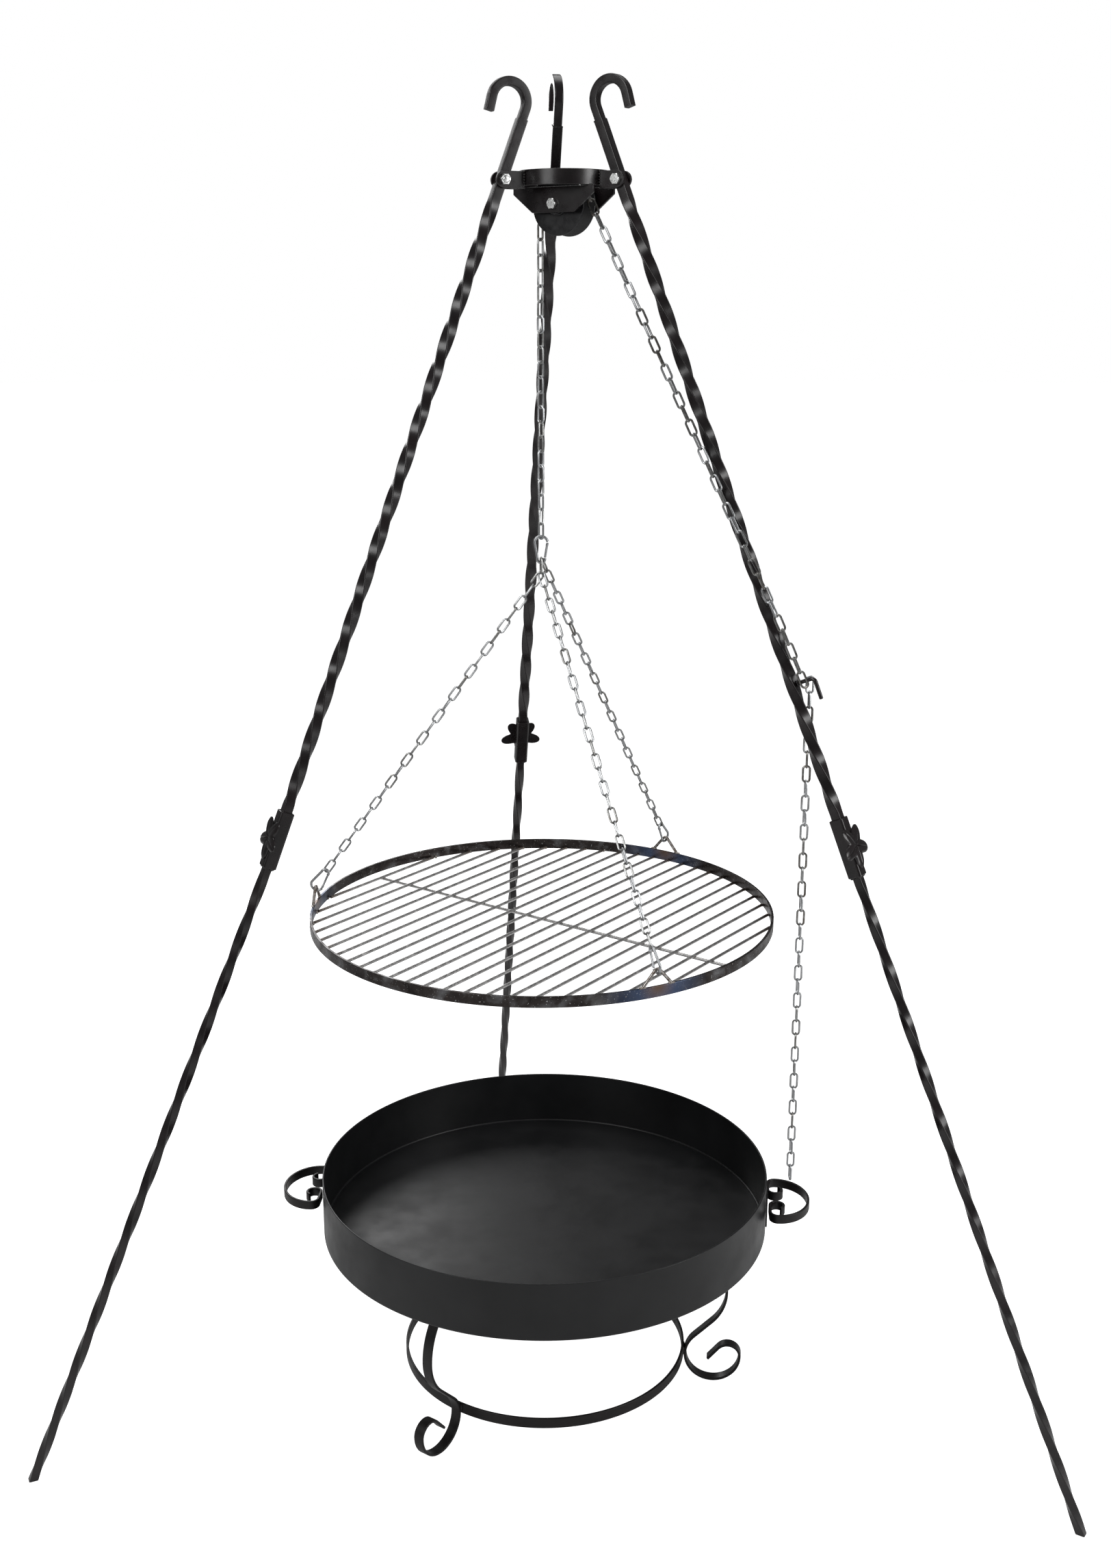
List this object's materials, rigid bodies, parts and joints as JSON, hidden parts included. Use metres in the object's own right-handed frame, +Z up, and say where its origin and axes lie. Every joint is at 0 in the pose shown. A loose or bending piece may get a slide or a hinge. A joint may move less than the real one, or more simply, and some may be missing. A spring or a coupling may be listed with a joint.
{
  "type": "campfire tripod grate",
  "caption": "Tripod of twisted bars with a round grate hoisted on a chain over a pulley, above a flat fire bowl on a scroll-legged stand.",
  "frame": {"origin": "on the ground, at the centre of the footprint of the three feet", "axes": "+Z up, +Y from the open front between the left and the right leg to the back leg, +X to the right"},
  "size_m": [1.4902, 1.2395, 1.9246],
  "materials": {
    "black_paint": "satin",
    "zinc_plate": "bright",
    "raw_steel": "mill scale, satin",
    "black_nylon": "semi-gloss"
  },
  "bodies": {
    "head": {"head_ring": "black_paint", "clevis_left": "black_paint", "clevis_right": "black_paint", "clevis_back": "black_paint", "clevis_bolt_left": "zinc_plate", "clevis_bolt_right": "zinc_plate", "clevis_bolt_back": "zinc_plate", "clevis_nut_left": "zinc_plate", "clevis_nut_right": "zinc_plate", "clevis_nut_back": "zinc_plate", "cheek_front": "black_paint", "cheek_rear": "black_paint", "pulley_axle": "zinc_plate", "pulley_axle_nut": "zinc_plate", "pulley_chain": "zinc_plate"},
    "pulley_wheel": {"pulley": "black_nylon"},
    "upper_left": {"upper_leg_left": "black_paint", "hook_left": "black_paint"},
    "upper_right": {"upper_leg_right": "black_paint", "hook_right": "black_paint", "chain_hook": "black_paint", "haul_chain": "zinc_plate"},
    "upper_back": {"upper_leg_back": "black_paint", "hook_back": "black_paint"},
    "lower_left": {"sleeve_left": "black_paint", "leaf_left": "black_paint", "lower_leg_left": "black_paint"},
    "lower_right": {"sleeve_right": "black_paint", "leaf_right": "black_paint", "lower_leg_right": "black_paint"},
    "lower_back": {"sleeve_back": "black_paint", "leaf_back": "black_paint", "lower_leg_back": "black_paint"},
    "tail": {"tail_chain": "zinc_plate"},
    "fall": {"fall_chain_upper": "zinc_plate"},
    "fall_end": {"fall_chain_lower": "zinc_plate"},
    "hanger": {"carabiner_top": "zinc_plate"},
    "top_gate": {"gate_top": "zinc_plate"},
    "grate": {"bridle_chain_left": "zinc_plate", "bridle_chain_back": "zinc_plate", "bridle_chain_front": "zinc_plate", "carabiner_left": "zinc_plate", "carabiner_back": "zinc_plate", "carabiner_front": "zinc_plate", "grate_ring": "raw_steel", "grate_rods": "raw_steel", "eye_left": "raw_steel", "eye_back": "raw_steel", "eye_front": "raw_steel"},
    "left_gate": {"gate_left": "zinc_plate"},
    "back_gate": {"gate_back": "zinc_plate"},
    "front_gate": {"gate_front": "zinc_plate"},
    "stand": {"stand_ring": "black_paint", "stand_leg_front": "black_paint", "stand_leg_right": "black_paint", "stand_leg_back": "black_paint"},
    "bowl": {"fire_bowl": "black_paint", "bowl_handle_left": "black_paint", "bowl_handle_right": "black_paint"}
  },
  "joints": [
    {"name": "grate_height", "type": "slide", "parent": "fall", "child": "fall_end", "axis": [0, 0, 1], "range_m": [0, 0.2], "deforming": ["fall_chain_upper"]},
    {"name": "pulley_spin", "type": "hinge", "parent": "head", "child": "pulley_wheel", "pos_m": [0.0257, -0.1479, 1.753], "axis": [0.5461, 0.8377, 0], "range_deg": [-5, 300]},
    {"name": "leg_fold_left", "type": "hinge", "parent": "head", "child": "upper_left", "pos_m": [-0.05802, -0.18605, 1.782], "axis": [-0.4147, 0.91, 0], "range_deg": [-2.5, 0]},
    {"name": "leg_fold_right", "type": "hinge", "parent": "head", "child": "upper_right", "pos_m": [0.10026, -0.1965, 1.782], "axis": [-0.5461, -0.8377, 0], "range_deg": [-2.5, 0]},
    {"name": "leg_fold_back", "type": "hinge", "parent": "head", "child": "upper_back", "pos_m": [0.01167, -0.06407, 1.782], "axis": [0.9863, 0.165, 0], "range_deg": [-2.5, 0]},
    {"name": "leg_section_left", "type": "slide", "parent": "upper_left", "child": "lower_left", "axis": [-0.335, -0.1527, -0.9298], "range_m": [0, 0.06]},
    {"name": "leg_section_right", "type": "slide", "parent": "upper_right", "child": "lower_right", "axis": [0.3284, -0.2141, -0.92], "range_m": [0, 0.06]},
    {"name": "leg_section_back", "type": "slide", "parent": "upper_back", "child": "lower_back", "axis": [-0.0593, 0.3543, -0.9333], "range_m": [0, 0.06]},
    {"name": "tail_swing", "type": "hinge", "parent": "upper_right", "child": "tail", "pos_m": [0.35537, -0.34312, 1.13976], "axis": [-0.5461, -0.8377, 0], "range_deg": [-2, 10]},
    {"name": "fall_swing", "type": "hinge", "parent": "head", "child": "fall", "pos_m": [-0.00655, -0.12688, 1.753], "axis": [-0.5461, -0.8377, 0], "range_deg": [-2, 2]},
    {"name": "grate_spin", "type": "hinge", "parent": "fall_end", "child": "hanger", "pos_m": [-0.00655, -0.12688, 1.264], "axis": [0, 0, 1], "continuous": true},
    {"name": "grate_tilt", "type": "hinge", "parent": "hanger", "child": "grate", "pos_m": [-0.00655, -0.12688, 1.264], "axis": [0.8377, -0.5461, 0], "range_deg": [-2.5, 2.5]},
    {"name": "gate_open_top", "type": "hinge", "parent": "hanger", "child": "top_gate", "pos_m": [-0.00114, -0.12688, 1.27196], "axis": [0, -1, 0], "range_deg": [0, 20], "stiffness_Nm_per_rad": 0.02},
    {"name": "gate_open_left", "type": "hinge", "parent": "grate", "child": "left_gate", "pos_m": [-0.33478, -0.09839, 0.78309], "axis": [0.0869, 0.9962, -0.0003], "range_deg": [0, 20], "stiffness_Nm_per_rad": 0.02},
    {"name": "gate_open_back", "type": "hinge", "parent": "grate", "child": "back_gate", "pos_m": [0.18708, 0.13939, 0.7856], "axis": [0.8089, -0.5879, 0.0002], "range_deg": [0, 20], "stiffness_Nm_per_rad": 0.02},
    {"name": "gate_open_front", "type": "hinge", "parent": "grate", "child": "front_gate", "pos_m": [0.14306, -0.42072, 0.77969], "axis": [-0.8911, -0.4539, 0.0001], "range_deg": [0, 20], "stiffness_Nm_per_rad": 0.02},
    {"name": "stand_slide", "type": "slide", "parent": "head", "child": "stand", "axis": [0, -1, 0], "range_m": [0, 0.9]},
    {"name": "bowl_lift", "type": "slide", "parent": "stand", "child": "bowl", "axis": [0, 0, 1], "range_m": [0, 0.25]}
  ],
  "couplings": [
    {"joint": "pulley_spin", "follows": "grate_height", "rad_per_m": 25.974}
  ]
}
